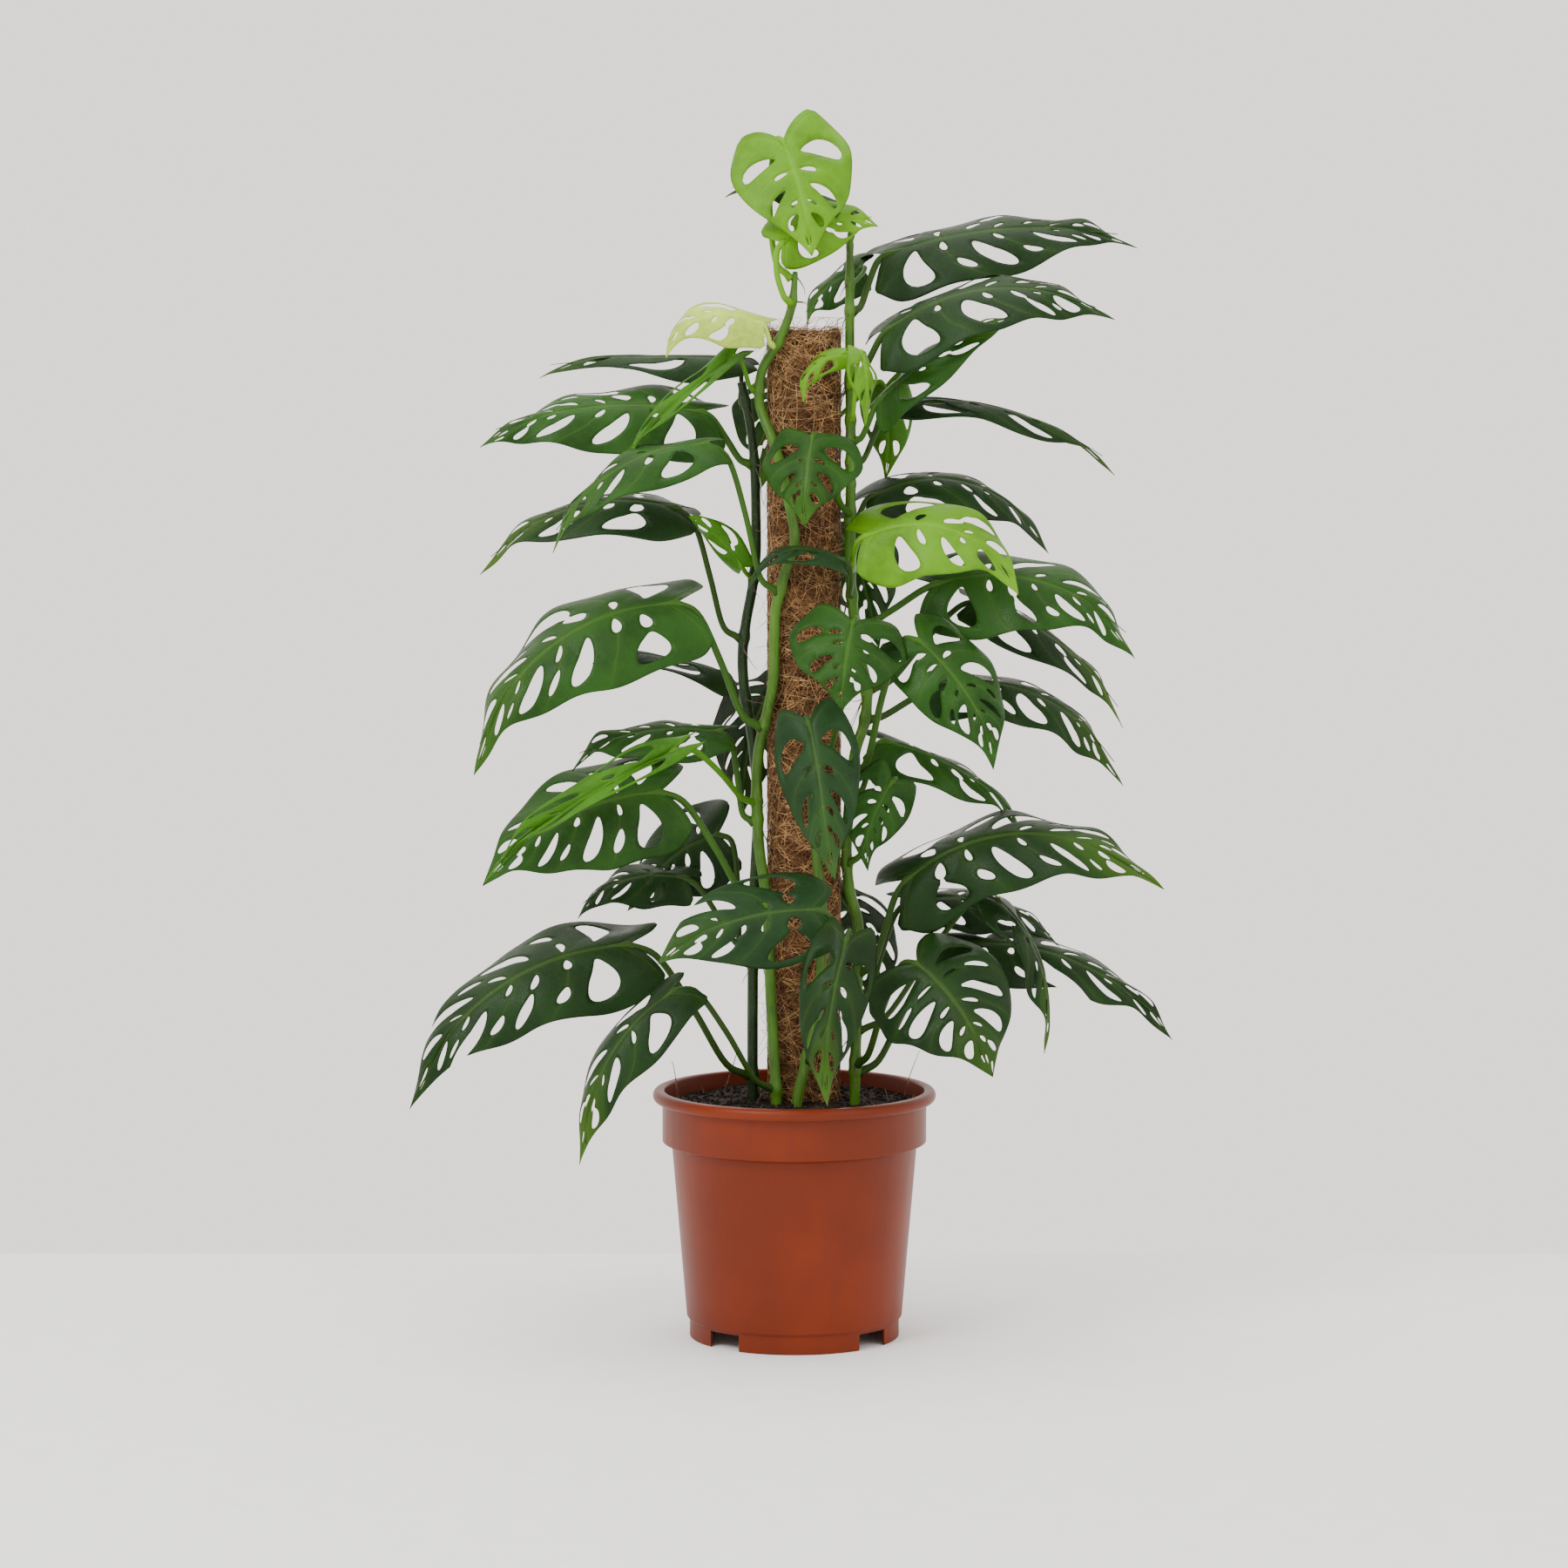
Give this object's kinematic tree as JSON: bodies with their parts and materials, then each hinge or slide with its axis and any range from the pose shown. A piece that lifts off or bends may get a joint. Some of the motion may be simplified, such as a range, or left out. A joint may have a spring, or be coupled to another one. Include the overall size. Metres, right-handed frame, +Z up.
{
  "type": "potted monstera plant",
  "caption": "Potted climbing monstera with perforated leaves, trained up a coir pole in a tapered round nursery pot with a rolled rim.",
  "frame": {"origin": "centre of the pot's foot ring, on the surface the pot stands on", "axes": "+Z up along the climbing pole, -Y out of the best side of the plant, +X to the right of it"},
  "size_m": [0.647, 0.3211, 1.0332],
  "materials": {
    "pot_plastic": "satin",
    "potting_soil": "matte",
    "pole_wood": "matte",
    "coir": "matte",
    "stem_light": "satin",
    "stem_dark": "satin",
    "aerial_root": "matte",
    "leaf_dark": "satin",
    "leaf_green": "satin",
    "leaf_young": "satin"
  },
  "bodies": {
    "root": {"pole_core": "pole_wood", "pole_sleeve": "coir", "vine_front": "stem_light", "vine_left": "stem_dark", "vine_right": "stem_light", "vine_centre": "stem_light", "vine_back": "stem_dark", "leaf_crown_1": "leaf_young", "leaf_crown_2": "leaf_dark", "leaf_crown_3": "leaf_young", "leaf_crown_4": "leaf_green", "leaf_crown_5": "leaf_young", "leaf_crown_6": "leaf_young", "leaf_crown_7": "leaf_young", "leaf_right_1": "leaf_dark", "leaf_right_2": "leaf_dark", "leaf_right_3": "leaf_green", "leaf_right_4": "leaf_dark", "leaf_right_5": "leaf_young", "leaf_right_6": "leaf_dark", "leaf_right_7": "leaf_young", "leaf_right_8": "leaf_green", "leaf_right_9": "leaf_dark", "leaf_right_10": "leaf_dark", "leaf_right_11": "leaf_green", "leaf_right_12": "leaf_green", "leaf_right_13": "leaf_green", "leaf_right_14": "leaf_dark", "leaf_right_15": "leaf_dark", "leaf_right_16": "leaf_dark", "leaf_right_17": "leaf_dark", "leaf_right_18": "leaf_dark", "leaf_left_1": "leaf_dark", "leaf_left_2": "leaf_green", "leaf_left_3": "leaf_young", "leaf_left_4": "leaf_green", "leaf_left_5": "leaf_dark", "leaf_left_6": "leaf_green", "leaf_left_7": "leaf_dark", "leaf_left_8": "leaf_green", "leaf_left_9": "leaf_green", "leaf_left_10": "leaf_green", "leaf_left_11": "leaf_dark", "leaf_left_12": "leaf_dark", "leaf_left_13": "leaf_dark", "leaf_left_14": "leaf_dark", "leaf_left_15": "leaf_green", "leaf_front_1": "leaf_green", "leaf_front_2": "leaf_dark", "leaf_front_3": "leaf_green", "leaf_front_4": "leaf_dark", "leaf_front_5": "leaf_dark", "leaf_front_6": "leaf_dark", "leaf_back_1": "leaf_green", "leaf_back_2": "leaf_green", "leaf_back_3": "leaf_dark", "leaf_back_4": "leaf_dark", "aerial_root": "aerial_root", "pot": "pot_plastic", "soil": "potting_soil"}
  },
  "joints": []
}
